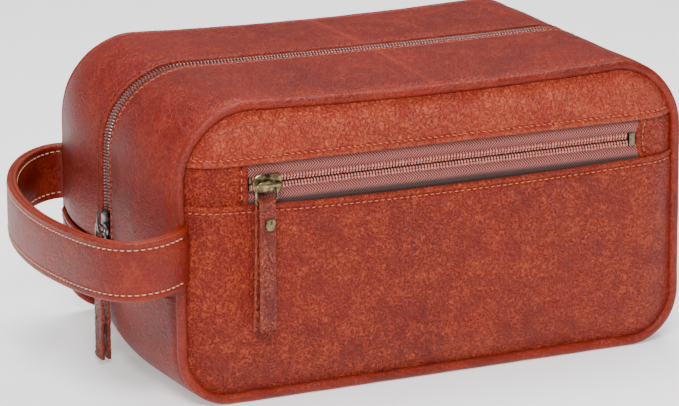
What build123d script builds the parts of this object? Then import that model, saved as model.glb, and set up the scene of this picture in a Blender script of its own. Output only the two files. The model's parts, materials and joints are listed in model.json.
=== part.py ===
"""A leather shaving kit bag with a two-sided zip mouth, a zipped front pocket and a side handle.

Millimetres. +Z is up, +X runs along the bag's length and -Y is the front with the pocket.
The origin is the middle of the base, on the surface that the bag stands on.
"""
from build123d import *
import os

# Overall size
bag_length = 260.0
bag_depth = 155.0
bag_height = 142.0
top_corner_radius = 35.0
bottom_corner_radius = 26.0

# Leather, lining and seams
leather = 2.0
lining = 0.8
board = 1.6
welt_radius = 2.6
welt_bore_radius = 1.5
welt_core_radius = 1.4
front_bulge = 9.1
rear_bulge = 6.0
flat_inset = 14.8
bulge_shares = (0.0, 0.6, 1.0)
bulge_rims = (0.0, 0.3, 1.0)
end_crown = 5.0
crown_flat = 16.0
end_seam_height = 57.0
lining_gap = 0.2
lining_zip_clearance = 8.0

# Zips: one chain size serves the mouth and the pocket
chain_half_width = 3.0
chain_half_gap = 0.5
chain_height = 1.7
tape = 0.6
tape_half_width = 15.5
tape_showing = 2.5
stop_length = 2.8
stop_gap = 0.4
seam_to_stop = 1.4
tape_under_seam = 7.0

# Front pocket
pocket_below_top = 37.4
pocket_half_gap = 9.1
pocket_left = -96.5
pocket_right = 104.0
pocket_tape_past_left = 11.5
pocket_tape_past_right = 4.0
pocket_closed_stop = 1.0
pocket_chain_end = 98.0
pocket_lining_above_tape = 1.5
lip_left = -78.5
lip_right = 80.5

# Sliders
slider_length = 14.0
slider_shoulder = 0.5
slider_nose = 3.0
slider_plate = 1.2
slider_web = 0.4
slider_flange = 0.7
bridge_window = 2.6
bridge_thickness = 1.0
bridge_width = 1.2
bridge_foot = 1.2
bridge_rear = -6.4
bridge_front = 4.6

# Rings, pulls and rivets
wire_radius = 0.6
ring_width = 12.6
ring_height = 9.0
ring_top_radius = 3.5
ring_bottom_radius = 1.5
pocket_ring_turn = 18.0
pocket_ring_offset = -1.8
main_ring_stand = 2.9
main_ring_drop = 0.6
pull_width = 9.3
pull_leather = 1.4
pull_slack = 0.25
pocket_pull_length = 62.6
main_pull_length = 59.0
rivet_below_fold = 12.3
rivet_shank_radius = 1.0
rivet_cap_radius = 3.0
rivet_cap = 0.9
rivet_back_radius = 2.5
rivet_back = 0.3

# Handle strap
strap_width = 27.5
strap_layer = 2.4
strap_height = 74.0
strap_flex_out = 13.5
strap_root_in = 2.2
strap_root_out = (3.3, 3.6)
strap_front_turn = (28.5, 22.6)
strap_front_reach = (45.8, 14.0)
strap_rear_reach = (40.5, 33.0)
strap_rear_turn = (17.5, 6.6)
strap_bends = (15.0, 90.0, 50.0, 16.0)

# Clearances
fit = 0.05
clearance = 0.3
plate_clearance = 0.4

# Places that follow from the sizes above
wall = bag_length / 2
zip_wall = wall + end_crown
seam = bag_depth / 2
welt_y = seam - welt_radius
gusset_edge = seam - 2 * welt_radius - fit
panel_inset = 2 * welt_radius + 2 * fit
bulge_rim = flat_inset - panel_inset
mouth_end = wall - top_corner_radius
mouth_half_gap = chain_half_width + tape_showing
tape_top = leather + 2 * fit
tape_bottom = tape_top + tape
chain_bottom = tape_top - fit
chain_drop = chain_bottom - chain_height
board_low = leather + 2 * fit
lining_inset = board_low + board + lining_gap
pocket_height = bag_height - pocket_below_top
front_face = welt_y + front_bulge
pocket_low = pocket_height - pocket_half_gap
pocket_high = pocket_height + pocket_half_gap
stop_low = end_seam_height + seam_to_stop
chain_low = stop_low + stop_length + stop_gap
slider_half_width = chain_half_width + plate_clearance + slider_flange
plate_low = plate_clearance - chain_drop
plate_high = plate_low + slider_plate
back_plate_top = tape_bottom + plate_clearance
bridge_low = plate_high + bridge_window
bridge_middle = bridge_low + bridge_thickness / 2
pocket_slider_x = pocket_left + pocket_closed_stop + stop_gap + slider_length / 2
main_slider_z = chain_low + stop_gap + slider_length / 2
pocket_ring_x = pocket_slider_x + pocket_ring_offset
ring_over_bridge = bridge_width / 2 + clearance + wire_radius
everywhere = 4 * bag_length


def outline(inset, crown=0.0):
    """The bag seen from the front, drawn in from its edge by inset, its ends set out by crown."""
    across = bag_length - 2 * inset + 2 * crown
    shape = Pos(0, bag_height / 2) * Rectangle(across, bag_height - 2 * inset)
    shape = fillet(shape.vertices().sort_by(Axis.Y)[-2:], top_corner_radius - inset)
    return fillet(shape.vertices().sort_by(Axis.Y)[:2], bottom_corner_radius - inset)


def upright(y):
    """A plane that faces the front at this y, with X across and Z up."""
    return Plane(origin=(0, y, 0), x_dir=(1, 0, 0), z_dir=(0, -1, 0))


def slab(shape, low, high):
    """A flat outline made solid from y = low to y = high."""
    return extrude(upright(high) * shape, high - low)


def block(x, y, z):
    """A box from three pairs of limits."""
    limits = (x, y, z)
    middle = [(low + high) / 2 for low, high in limits]
    size = [high - low for low, high in limits]
    return Pos(*middle) * Box(*size)


def within(x=(-everywhere, everywhere), y=(-everywhere, everywhere), z=(-everywhere, everywhere)):
    """A box that limits only the directions it is given."""
    return block(x, y, z)


def crowned(inset):
    """The space between the seams at this inset: the ends of the bag stand out beside the zip."""
    rims = ((-seam, 0.0), (-crown_flat, end_crown), (crown_flat, end_crown), (seam, 0.0))
    return loft([upright(y) * outline(inset, crown) for y, crown in rims], ruled=True)


def band(outer, inner, low, high):
    """The strip of the gusset between two insets, from y = low to y = high."""
    return (crowned(outer) - crowned(inner)) & within(y=(low, high))


def to_rear(shape):
    """The same piece on the rear half of the bag."""
    return mirror(shape, about=Plane.XZ)


def to_right(shape):
    """The same piece at the bag's right end."""
    return mirror(shape, about=Plane.YZ)


def bulge(depth, back=0.0):
    """The padded shape of a flat panel, from the welt's middle plane outwards."""
    sections = []
    for share, rim in zip(bulge_shares, bulge_rims):
        plane = upright(-welt_y - share * depth + back)
        sections.append(plane * outline(panel_inset + rim * bulge_rim))
    return loft(sections, ruled=True)


def panel_shell(depth):
    """One leather panel, hollow on its inner side."""
    return bulge(depth) - bulge(depth, back=leather)


# Outer shell

def front_lower_panel():
    return panel_shell(front_bulge) & within(z=(-everywhere, pocket_low))


def front_yoke():
    return panel_shell(front_bulge) & within(z=(pocket_high, everywhere))


def front_tab(x):
    """One of the leather tabs that close the ends of the pocket's window."""
    between_edges = (pocket_low + fit, pocket_high - fit)
    return panel_shell(front_bulge) & within(x=x, z=between_edges)


def rear_panel():
    return to_rear(panel_shell(rear_bulge))


def base_gusset():
    """The bottom of the bag, turned up at both ends as far as the zip strips."""
    return band(0, leather, -gusset_edge, gusset_edge) & within(z=(-everywhere, end_seam_height))


def end_strip():
    """The leather beside the zip on the front left, from the end seam over the top corner."""
    strip = band(0, leather, -gusset_edge, -mouth_half_gap)
    return strip & within(x=(-everywhere, -mouth_end), z=(end_seam_height + fit, everywhere))


def mouth_limits():
    """The stretch of the top that lifts, short of the rounded corners."""
    return within(x=(clearance - mouth_end, mouth_end - clearance), z=(bag_height / 2, everywhere))


def mouth_strip():
    edge = welt_y - welt_radius - clearance
    return band(0, leather, -edge, -mouth_half_gap) & mouth_limits()


def ring_path(y):
    """The closed line that the welt follows at this y."""
    return (upright(y) * outline(welt_radius)).faces()[0].outer_wire()


def round_bar(path, radius):
    """A bar of round section swept along a path."""
    start = Plane(origin=path @ 0, z_dir=path % 0)
    return sweep(start * Circle(radius), path=path)


def welt():
    path = ring_path(-welt_y)
    return round_bar(path, welt_radius) - round_bar(path, welt_bore_radius)


def welt_core():
    return round_bar(ring_path(-welt_y), welt_core_radius)


# Lining and base

def front_lining(back_of_seam):
    """A flat sheet of lining behind the front panel."""
    high = lining - welt_y + back_of_seam
    return slab(outline(panel_inset + clearance), high - lining, high)


def pocket_lining():
    """The rear wall of the front pocket."""
    top = pocket_height + tape_half_width + pocket_lining_above_tape
    return front_lining(clearance) & within(z=(-everywhere, top))


def gusset_lining():
    """The lining of the base, the ends and the top corners, with the zip's slot left open."""
    ring = band(lining_inset, lining_inset + lining, -gusset_edge, gusset_edge)
    slot = within(y=(-lining_zip_clearance, lining_zip_clearance), z=(end_seam_height, everywhere))
    top = within(x=(-mouth_end, mouth_end), z=(bag_height / 2, everywhere))
    return ring - slot - top


def mouth_lining():
    edge = welt_y - welt_radius - clearance
    return band(lining_inset, lining_inset + lining, -edge, -lining_zip_clearance) & mouth_limits()


def base_board():
    half = wall - bottom_corner_radius
    edge = gusset_edge - clearance
    return block((-half, half), (-edge, edge), (board_low, board_low + board))


# Mouth zip, front half on the left end

def end_tape():
    strip = band(tape_top, tape_bottom, -tape_half_width, -chain_half_gap)
    low = end_seam_height - tape_under_seam
    return strip & within(x=(-everywhere, -mouth_end), z=(low, everywhere))


def end_chain():
    strip = band(chain_drop, chain_bottom, -chain_half_width, -chain_half_gap)
    return strip & within(x=(-everywhere, -mouth_end), z=(chain_low, everywhere))


def mouth_tape():
    return band(tape_top, tape_bottom, -tape_half_width, -chain_half_gap) & mouth_limits()


def mouth_chain():
    return band(chain_drop, chain_bottom, -chain_half_width, -chain_half_gap) & mouth_limits()


def main_top_stops():
    """The pair of clips at the closed end, one on each side of the chain."""
    x = (chain_drop - zip_wall, chain_bottom - zip_wall)
    clip = block(x, (-chain_half_width, -chain_half_gap), (stop_low, stop_low + stop_length))
    return [clip, to_rear(clip)]


def main_bottom_stop():
    x = (zip_wall - chain_bottom, zip_wall - chain_drop)
    return block(x, (-chain_half_width, chain_half_width), (stop_low, stop_low + stop_length))


# Pocket zip

def pocket_layer(x, z, drop, thickness):
    """A flat strip of the pocket's zip, set back from the panel's face."""
    low = drop - front_face
    return block(x, (low, low + thickness), z)


def pocket_tape(x, z):
    return pocket_layer(x, z, tape_top, tape)


def pocket_chain(x, z):
    return pocket_layer(x, z, chain_drop, chain_height)


tape_ends = (pocket_left - pocket_tape_past_left, pocket_right + pocket_tape_past_right)
chain_ends = (pocket_left + pocket_closed_stop + stop_gap / 2, pocket_chain_end)
chain_upper = (pocket_height + chain_half_gap, pocket_height + chain_half_width)
chain_lower = (pocket_height - chain_half_width, pocket_height - chain_half_gap)
lip_foot = pocket_low + clearance


def pocket_tape_upper():
    upper = (pocket_height + chain_half_gap, pocket_height + tape_half_width)
    return pocket_tape(tape_ends, upper)


def pocket_tape_lower():
    """The lower tape: the part sewn behind the panel, and the two ends that stay put."""
    whole = pocket_tape(tape_ends, (pocket_height - tape_half_width, pocket_height - chain_half_gap))
    return whole - within(x=(lip_left, lip_right), z=(pocket_low - clearance, everywhere))


def pocket_lip_tape():
    x = (lip_left + clearance, lip_right - clearance)
    return pocket_tape(x, (lip_foot, pocket_height - chain_half_gap))


def pocket_lip_chain():
    return pocket_chain((lip_left + clearance, lip_right - clearance), chain_lower)


def pocket_chain_lower():
    """The two ends of the lower chain, left and right of the lip."""
    return [pocket_chain((chain_ends[0], lip_left), chain_lower),
            pocket_chain((lip_right, chain_ends[1]), chain_lower)]


def pocket_top_stops():
    x = (pocket_left + fit, pocket_left + pocket_closed_stop)
    return [pocket_chain(x, chain_upper), pocket_chain(x, chain_lower)]


def pocket_bottom_stop():
    x = (pocket_chain_end + stop_gap, pocket_chain_end + stop_gap + stop_length)
    return pocket_chain(x, (chain_lower[0], chain_upper[1]))


# Sliders, rings and pulls, drawn flat: X along the zip towards its closed end, Z out of the bag

def slider_plate_shape():
    """Straight sides at the rear, a shoulder, and a narrower nose at the closing end."""
    half = slider_length / 2
    side = [(-half, slider_half_width), (0, slider_half_width),
            (half / 2, slider_half_width + slider_shoulder), (half, slider_nose)]
    return make_face(Polyline(*side, *[(x, -y) for x, y in reversed(side)], close=True))


def slider():
    """Two plates joined by a thin web, with side flanges and a bridge for the ring."""
    half = slider_length / 2
    plate = slider_plate_shape()
    body = Pos(0, 0, plate_low) * extrude(plate, slider_plate)
    body += Pos(0, 0, -back_plate_top) * extrude(plate, -slider_plate)
    body += block((half / 2, half - slider_plate), (-slider_web / 2, slider_web / 2),
                  (-back_plate_top, plate_high))
    flange = block((-half, half / 2), (slider_half_width - slider_flange, slider_half_width),
                   (plate_clearance - tape_top, plate_high))
    body += flange + mirror(flange, about=Plane.XZ)
    side = (-bridge_width / 2, bridge_width / 2)
    top = bridge_low + bridge_thickness
    body += block((bridge_rear, bridge_front), side, (bridge_low, top))
    body += block((bridge_rear, bridge_rear + bridge_foot), side, (plate_low, top))
    body += block((bridge_front - bridge_foot, bridge_front), side, (plate_low, top))
    return body


def ring():
    """A wire link hanging down -Y, with the middle of its top side at the origin."""
    shape = Pos(0, -ring_height / 2) * Rectangle(ring_width, ring_height)
    shape = fillet(shape.vertices().sort_by(Axis.Y)[-2:], ring_top_radius)
    shape = fillet(shape.vertices().sort_by(Axis.Y)[:2], ring_bottom_radius)
    return round_bar(shape.faces()[0].outer_wire(), wire_radius)


def fold_radius():
    return wire_radius + pull_slack


def pull_leather_strip(length):
    """A strip folded in half over the ring's lower side, which lies on X at the origin."""
    outer = fold_radius() + pull_leather
    drop = length - outer
    profile = Circle(outer) + Pos(0, -drop / 2) * Rectangle(2 * outer, drop)
    profile -= Circle(fold_radius()) + Pos(0, -drop / 2) * Rectangle(2 * fold_radius(), drop)
    side_on = Plane(origin=(-pull_width / 2, 0, 0), x_dir=(0, 0, -1), z_dir=(1, 0, 0))
    strip = extrude(side_on * profile, pull_width)
    hole = Pos(0, outer - rivet_below_fold, 0) * Cylinder(rivet_shank_radius, 4 * outer)
    return strip - hole


def rivet():
    outer = fold_radius() + pull_leather
    at = Pos(0, outer - rivet_below_fold, 0)
    shank = Cylinder(rivet_shank_radius, 2 * outer)
    cap = Pos(0, 0, outer + rivet_cap / 2) * Cylinder(rivet_cap_radius, rivet_cap)
    cap = fillet(cap.edges().sort_by(Axis.Z)[-1], rivet_cap / 2)
    back = Pos(0, 0, -outer - rivet_back / 2) * Cylinder(rivet_back_radius, rivet_back)
    return at * (shank + cap + back)


pocket_zip_plane = Plane(origin=(pocket_slider_x, -front_face, pocket_height),
                         x_dir=(-1, 0, 0), z_dir=(0, -1, 0))
main_zip_plane = Plane(origin=(-zip_wall, 0, main_slider_z), x_dir=(0, 0, -1), z_dir=(-1, 0, 0))


def pocket_hang():
    """Where the pocket's ring hangs on its bridge: across, up and out, turned about Z."""
    at = Pos(pocket_ring_x, -front_face - bridge_middle, pocket_height)
    return at * Rot(0, 0, pocket_ring_turn) * Rot(90, 0, 0)


def main_hang():
    """Where the mouth zip's ring hangs in its bridge, facing the left."""
    at = Pos(-zip_wall - main_ring_stand, 0, main_slider_z - main_ring_drop)
    return at * Rot(0, 0, -90) * Rot(90, 0, 0)


pocket_ring_place = pocket_hang() * Pos(0, ring_over_bridge, 0)
pocket_pull_place = pocket_ring_place * Pos(0, -ring_height, 0)
main_ring_place = main_hang()
main_pull_place = main_ring_place * Pos(0, -ring_height, 0)


# Handle

def strap_corners():
    """The strap's middle line seen from above, from the front root round to the rear root."""
    root = panel_inset + strap_root_in - wall
    return [(root, -welt_y - strap_root_out[0]),
            (-wall - strap_front_turn[0], -welt_y - strap_front_turn[1]),
            (-wall - strap_front_reach[0], -strap_front_reach[1]),
            (-wall - strap_rear_reach[0], strap_rear_reach[1]),
            (-wall - strap_rear_turn[0], welt_y + strap_rear_turn[1]),
            (root, welt_y + strap_root_out[1])]


def strap_solid(near, far):
    """One layer of the strap, between two distances outwards from its middle line."""
    line = FilletPolyline(*strap_corners(), radius=list(strap_bends))
    middle = (near + far) / 2
    if middle > 0:
        line = offset(line, middle, side=Side.LEFT, closed=False)
    if middle < 0:
        line = offset(line, -middle, side=Side.RIGHT, closed=False)
    face = trace(line, far - near)
    return Pos(0, 0, strap_height - strap_width / 2) * extrude(face, strap_width)


def strap_pivot(radius):
    """The round end about which the free part of the strap flexes."""
    return Pos(-wall - strap_flex_out, 0, strap_height) * Rot(90, 0, 0) * Cylinder(radius, everywhere)


def handle_layer(near, far):
    strap = strap_solid(near, far)
    free = strap & within(x=(-everywhere, -wall - strap_flex_out))
    return free + (strap & strap_pivot(strap_width / 2))


def handle_root(side):
    """The end of the strap that is sewn into the seam beside the welt."""
    strap = strap_solid(-strap_layer, strap_layer) & within(x=(-wall - strap_flex_out, everywhere), y=side)
    root = strap - strap_pivot(strap_width / 2 + clearance)
    for shape in (round_bar(ring_path(-welt_y), welt_radius + fit), bulge(front_bulge, back=-fit)):
        root -= shape
    for shape in (round_bar(ring_path(-welt_y), welt_radius + fit), bulge(rear_bulge, back=-fit)):
        root -= to_rear(shape)
    return root.solids().sort_by(SortBy.VOLUME)[-1]


def all_parts():
    """Every piece by the name of its node."""
    parts = {
        "front_lower_panel": front_lower_panel(),
        "front_yoke": front_yoke(),
        "front_zip_tab_left": front_tab((-everywhere, pocket_left)),
        "front_zip_tab_right": front_tab((pocket_right, everywhere)),
        "rear_panel": rear_panel(),
        "base_gusset": base_gusset(),
        "front_welt": welt(),
        "rear_welt": to_rear(welt()),
        "front_welt_core": welt_core(),
        "rear_welt_core": to_rear(welt_core()),
        "front_lining": front_lining(lining + 2 * clearance),
        "rear_lining": to_rear(front_lining(lining + 2 * clearance)),
        "gusset_lining": gusset_lining(),
        "base_board": base_board(),
        "pocket_lining": pocket_lining(),
        "pocket_tape_upper": pocket_tape_upper(),
        "pocket_tape_lower": pocket_tape_lower(),
        "pocket_chain_upper": pocket_chain(chain_ends, chain_upper),
        "pocket_chain_lower": pocket_chain_lower(),
        "pocket_top_stops": pocket_top_stops(),
        "pocket_bottom_stop": pocket_bottom_stop(),
        "pocket_lip_tape": pocket_lip_tape(),
        "pocket_lip_chain": pocket_lip_chain(),
        "main_top_stops": main_top_stops(),
        "main_bottom_stop": main_bottom_stop(),
        "handle_outer_leather": handle_layer(fit, strap_layer),
        "handle_inner_leather": handle_layer(-strap_layer, -fit),
        "handle_front_root": handle_root((-everywhere, 0)),
        "handle_rear_root": handle_root((0, everywhere)),
        "main_slider": main_zip_plane * slider(),
        "main_ring": main_ring_place * ring(),
        "main_pull_leather": main_pull_place * pull_leather_strip(main_pull_length),
        "main_pull_rivet": main_pull_place * rivet(),
        "pocket_slider": pocket_zip_plane * slider(),
        "pocket_ring": pocket_ring_place * ring(),
        "pocket_pull_leather": pocket_pull_place * pull_leather_strip(pocket_pull_length),
        "pocket_pull_rivet": pocket_pull_place * rivet(),
    }
    for name, piece in (("strip", end_strip()), ("tape", end_tape()), ("chain", end_chain())):
        parts[f"front_left_{name}"] = piece
        parts[f"rear_left_{name}"] = to_rear(piece)
        parts[f"front_right_{name}"] = to_right(piece)
        parts[f"rear_right_{name}"] = to_rear(to_right(piece))
    mouth = (("strip", mouth_strip()), ("tape", mouth_tape()), ("chain", mouth_chain()),
             ("lining", mouth_lining()))
    for name, piece in mouth:
        parts[f"front_mouth_{name}"] = piece
        parts[f"rear_mouth_{name}"] = to_rear(piece)
    return parts


os.makedirs("parts", exist_ok=True)
for node, piece in all_parts().items():
    solids = piece if isinstance(piece, list) else piece.solids()
    export_step(solids[0] if len(solids) == 1 else Compound(children=list(solids)), f"parts/{node}.step")
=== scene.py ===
import json
import math

import bpy
import numpy as np
from mathutils import Matrix, Vector, noise


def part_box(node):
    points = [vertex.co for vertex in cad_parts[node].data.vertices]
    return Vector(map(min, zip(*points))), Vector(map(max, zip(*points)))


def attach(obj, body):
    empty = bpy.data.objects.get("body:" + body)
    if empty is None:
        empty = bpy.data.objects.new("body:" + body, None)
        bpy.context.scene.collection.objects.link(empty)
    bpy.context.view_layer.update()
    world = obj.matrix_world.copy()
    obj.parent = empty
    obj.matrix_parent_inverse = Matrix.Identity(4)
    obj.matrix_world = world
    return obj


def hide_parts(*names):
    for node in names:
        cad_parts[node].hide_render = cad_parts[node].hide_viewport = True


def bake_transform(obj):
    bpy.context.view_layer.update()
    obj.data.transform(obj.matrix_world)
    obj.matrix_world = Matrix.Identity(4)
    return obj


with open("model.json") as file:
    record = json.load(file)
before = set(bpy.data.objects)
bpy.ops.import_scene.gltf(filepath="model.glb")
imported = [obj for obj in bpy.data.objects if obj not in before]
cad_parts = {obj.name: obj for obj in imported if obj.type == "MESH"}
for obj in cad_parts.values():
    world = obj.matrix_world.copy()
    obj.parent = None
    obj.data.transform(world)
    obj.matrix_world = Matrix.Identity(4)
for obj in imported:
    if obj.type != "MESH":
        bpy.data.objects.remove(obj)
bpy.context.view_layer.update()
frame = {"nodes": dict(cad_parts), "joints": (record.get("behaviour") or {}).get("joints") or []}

# Lengths in this script are millimetres until a mesh is made.
MM = 0.001


def cad(node):
    """The lowest and highest corners of a CAD node, in millimetres."""
    low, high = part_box(node)
    return np.array(low) / MM, np.array(high) / MM


def joint(name):
    """A joint's pivot in millimetres."""
    found = [j for j in frame["joints"] if j["name"] == name][0]
    return np.array(found["pos_m"]) / MM


# ---------------------------------------------------------------- sizes

WALL = -cad("front_welt")[0][0]
HEIGHT = cad("front_welt")[1][2]
CORNER_LEFT = 38.0
CORNER_RIGHT = 36.0
CORNER_BASE = 26.0
HALF_DEPTH_BASE = 78.8
HALF_DEPTH_TOP = 74.5
END_CROWN = -cad("base_gusset")[0][0] - WALL
WELT_INSET = 2.6
WELT_RADIUS = 2.5
FRONT_FACE = cad("front_yoke")[0][1]
REAR_FACE = cad("rear_panel")[1][1]
ZIP_EDGE = -cad("front_mouth_strip")[1][1]
END_SEAM = cad("base_gusset")[1][2]
POCKET_Z = (cad("pocket_chain_upper")[0][2] + cad("pocket_chain_lower")[1][2]) / 2
POCKET_LEFT = cad("front_zip_tab_left")[1][0]
POCKET_RIGHT = cad("front_zip_tab_right")[0][0]
WINDOW_LOW = cad("front_lower_panel")[1][2]
WINDOW_HIGH = cad("front_yoke")[0][2]
CHAIN_HALF = cad("pocket_chain_upper")[1][2] - POCKET_Z
TAPE_FRONT = cad("pocket_tape_upper")[0][1]
TOP_SAG = 2.3
SHEET = 0.9
TAPE_SHEET = 0.5
LINING_SHEET = 0.45
PANEL_INSET = 3.0
STITCH_PITCH = 3.1
TOOTH_PITCH = 1.55
STITCH_FROM_EDGE = 3.3


def smooth(x, low, high):
    """0 below low, 1 above high, and a smooth step between."""
    t = np.clip((x - low) / (high - low), 0.0, 1.0)
    return t * t * (3.0 - 2.0 * t)


# ---------------------------------------------------------------- outline and surfaces

def build_outline():
    """The gusset's line seen from the front, from the middle of the base round by the left end."""
    corners = [(-WALL + CORNER_BASE, CORNER_BASE, CORNER_BASE, 270.0),
               (-WALL + CORNER_LEFT, HEIGHT - CORNER_LEFT, CORNER_LEFT, 180.0),
               (WALL - CORNER_RIGHT, HEIGHT - CORNER_RIGHT, CORNER_RIGHT, 90.0),
               (WALL - CORNER_BASE, CORNER_BASE, CORNER_BASE, 0.0)]
    points = [(0.0, 0.0, 0.0, -1.0)]
    for cx, cz, radius, start in corners:
        for angle in np.radians(np.linspace(start, start - 90.0, 37)):
            nx, nz = math.cos(angle), math.sin(angle)
            points.append((cx + radius * nx, cz + radius * nz, nx, nz))
    points.append((0.0, 0.0, 0.0, -1.0))
    rows = np.array(points)
    steps = np.hypot(*np.diff(rows[:, :2], axis=0).T)
    return np.concatenate([[0.0], np.cumsum(steps)]), rows


LINE_S, LINE = build_outline()
AROUND = LINE_S[-1]
ARC = math.pi / 2
S_LEFT_SEAM = WALL - CORNER_BASE + ARC * CORNER_BASE + END_SEAM - CORNER_BASE
S_TOP = (WALL - CORNER_BASE + ARC * CORNER_BASE + HEIGHT - CORNER_BASE - CORNER_LEFT
         + ARC * CORNER_LEFT + WALL - CORNER_LEFT)
S_RIGHT_SEAM = AROUND - S_LEFT_SEAM


def on_line(s):
    """x, z and the outward normal at the distance s along the outline."""
    s = np.mod(s, AROUND)
    x, z, nx, nz = (np.interp(s, LINE_S, LINE[:, i]) for i in range(4))
    size = np.hypot(nx, nz)
    return x, z, nx / size, nz / size


def half_depth(z):
    """From the middle of the bag to its seams."""
    return HALF_DEPTH_BASE + (HALF_DEPTH_TOP - HALF_DEPTH_BASE) * np.clip(z / HEIGHT, 0.0, 1.0)


def gusset(s, y, lift=0.0):
    """A point of the gusset's outer face at the distance s along the outline and at depth y."""
    s, y, lift = np.broadcast_arrays(np.asarray(s, float), np.asarray(y, float), np.asarray(lift, float))
    x, z, nx, nz = on_line(s)
    half = half_depth(z)
    out = np.clip(np.abs(y) / half, 0.0, 1.0)
    from_zip = np.clip((np.abs(y) - 6.0) / (half - 6.0), 0.0, 1.0)
    side = np.where(x < 0, -1.0, 0.3) * smooth(np.abs(x), 60.0, 122.0)
    end = smooth(-x, 84.0, 128.0) + 0.25 * smooth(x, 84.0, 128.0)
    lobes = np.sin(math.pi * from_zip) * smooth(z, 18.0, 62.0)
    puff = lobes * (1.0 - 0.7 * smooth(z, 112.0, 134.0) + 2.8 * end)
    puff = puff - 1.5 * np.exp(-((half - np.abs(y)) / 2.6) ** 2)
    puff = puff + 0.6 * (1.0 - from_zip ** 2) * smooth(z, 110.0, 140.0) * smooth(-np.abs(x), -118.0, -90.0)
    slack = smooth(y, -half, -0.45 * half) * (1.0 - 0.6 * smooth(y, 0.8 * half, half))
    puff = puff - 1.6 * slack * smooth(x, 92.0, 118.0) * smooth(z, 92.0, 120.0)
    sag = -TOP_SAG * top_span(x) * smooth(z, HEIGHT - 9.0, HEIGHT - 2.0) * (0.35 + 0.65 * out)
    wave = 0.35 * np.sin(s / 17.0 + y / 23.0) * np.sin(y / 19.0 + 1.0) * smooth(z, 2.0, 30.0) * lobes
    move = lift + puff + wave
    crown = END_CROWN * (1.0 - from_zip ** 1.5)
    pinch = 9.0 * smooth(-x, 95.0, 128.0) * smooth(y, -30.0, 60.0) * (1.0 - smooth(z, 8.0, 56.0))
    return np.stack([x + nx * move + side * crown + pinch, y, z + nz * move + sag], axis=-1)


def top_span(x):
    """1 at the middle of the top, falling to 0 at its corners."""
    return np.clip(1.0 - (x / 98.0) ** 2, 0.0, 1.0)


def inside(x, z):
    """How far a point is inside the outline."""
    radius = np.where(z < HEIGHT / 2, CORNER_BASE, np.where(x < 0, CORNER_LEFT, CORNER_RIGHT))
    qx = np.abs(x) - (WALL - radius)
    qz = np.abs(z - HEIGHT / 2) - (HEIGHT / 2 - radius)
    outside = np.hypot(np.maximum(qx, 0), np.maximum(qz, 0)) + np.minimum(np.maximum(qx, qz), 0) - radius
    return -outside


def ripple(x, z, seed):
    """Slow uneven waves, so that a panel doesn't reflect like a plate."""
    total = np.zeros_like(x)
    for i in range(5):
        angle = seed + 1.3 * i
        along = x * math.cos(angle) + z * math.sin(angle)
        total += np.sin(along / (13.0 + 6.0 * i) + seed * 2.1 * i) / 5.0
    return total


def panel_face(x, z, flat, sign, seed):
    """y of the front (sign -1) or rear (sign +1) panel's outer face."""
    deep = inside(x, z)
    rise = 1.0 - np.exp(-(np.clip(deep - 3.4, 0.0, None) / 7.0) ** 1.2)
    seam = half_depth(z) - 0.4
    bow = 2.0 * (1.0 - (x / 130.0) ** 2) * np.exp(-((z - 58.0) / 46.0) ** 2)
    reach = abs(flat) + bow + 0.3 * ripple(x, z, seed)
    return sign * (seam + (reach - seam) * rise)


def front_face(x, z):
    return panel_face(x, z, FRONT_FACE, -1.0, 0.7)


def rear_face(x, z):
    return panel_face(x, z, REAR_FACE + 1.5, 1.0, 2.3)


def side_limits(z, inset):
    """The left and right ends of a panel's row at height z."""
    ends = []
    for top, sign in ((CORNER_LEFT, -1.0), (CORNER_RIGHT, 1.0)):
        x = np.full_like(z, WALL - inset)
        for radius, low in ((top, False), (CORNER_BASE, True)):
            centre = radius if low else HEIGHT - radius
            past = np.clip(centre - z if low else z - centre, 0.0, radius - inset)
            x = np.minimum(x, WALL - radius + np.sqrt((radius - inset) ** 2 - past ** 2))
        ends.append(sign * x)
    return ends


# ---------------------------------------------------------------- meshes

def new_object(name, points, faces, material, sharp=42.0):
    """A smooth-shaded mesh object from points in millimetres."""
    mesh = bpy.data.meshes.new(name)
    mesh.from_pydata((np.asarray(points, float) * MM).tolist(), [], faces)
    mesh.validate()
    mesh.materials.append(material)
    mesh.polygons.foreach_set("use_smooth", np.ones(len(mesh.polygons), bool))
    mesh.set_sharp_from_angle(angle=math.radians(sharp))
    made = bpy.data.objects.new(name, mesh)
    bpy.context.scene.collection.objects.link(made)
    return made


def quads(rows, columns, base=0, wrap_rows=False, wrap_columns=False):
    """Faces of a grid of points stored row by row."""
    i, j = np.meshgrid(np.arange(rows if wrap_rows else rows - 1),
                       np.arange(columns if wrap_columns else columns - 1), indexing="ij")
    i, j = i.ravel(), j.ravel()
    i2, j2 = (i + 1) % rows, (j + 1) % columns
    return (base + np.stack([i * columns + j, i2 * columns + j, i2 * columns + j2, i * columns + j2],
                            axis=1)).tolist()


def grid_normals(grid):
    across = np.cross(np.gradient(grid, axis=0), np.gradient(grid, axis=1))
    return across / np.maximum(np.linalg.norm(across, axis=-1, keepdims=True), 1e-9)


def shell(grid, thickness, outward):
    """Points and faces of a closed sheet: the grid is its outer side. outward is a rough direction."""
    normal = grid_normals(grid)
    if np.sum(normal * np.asarray(outward, float)) < 0:
        grid = grid[::-1]
        normal = grid_normals(grid)
    rows, columns = grid.shape[:2]
    inner = grid - normal * thickness
    points = np.concatenate([grid.reshape(-1, 3), inner.reshape(-1, 3)])
    count = rows * columns
    outer_faces = quads(rows, columns)
    inner_faces = [[count + v for v in reversed(f)] for f in outer_faces]
    rim = [*[(0, j) for j in range(columns)], *[(i, columns - 1) for i in range(1, rows)],
           *[(rows - 1, j) for j in range(columns - 2, -1, -1)], *[(i, 0) for i in range(rows - 2, 0, -1)]]
    ids = [i * columns + j for i, j in rim]
    sides = [[a, b, b + count, a + count] for a, b in zip(ids, ids[1:] + ids[:1])]
    return points, outer_faces + inner_faces + sides


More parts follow.
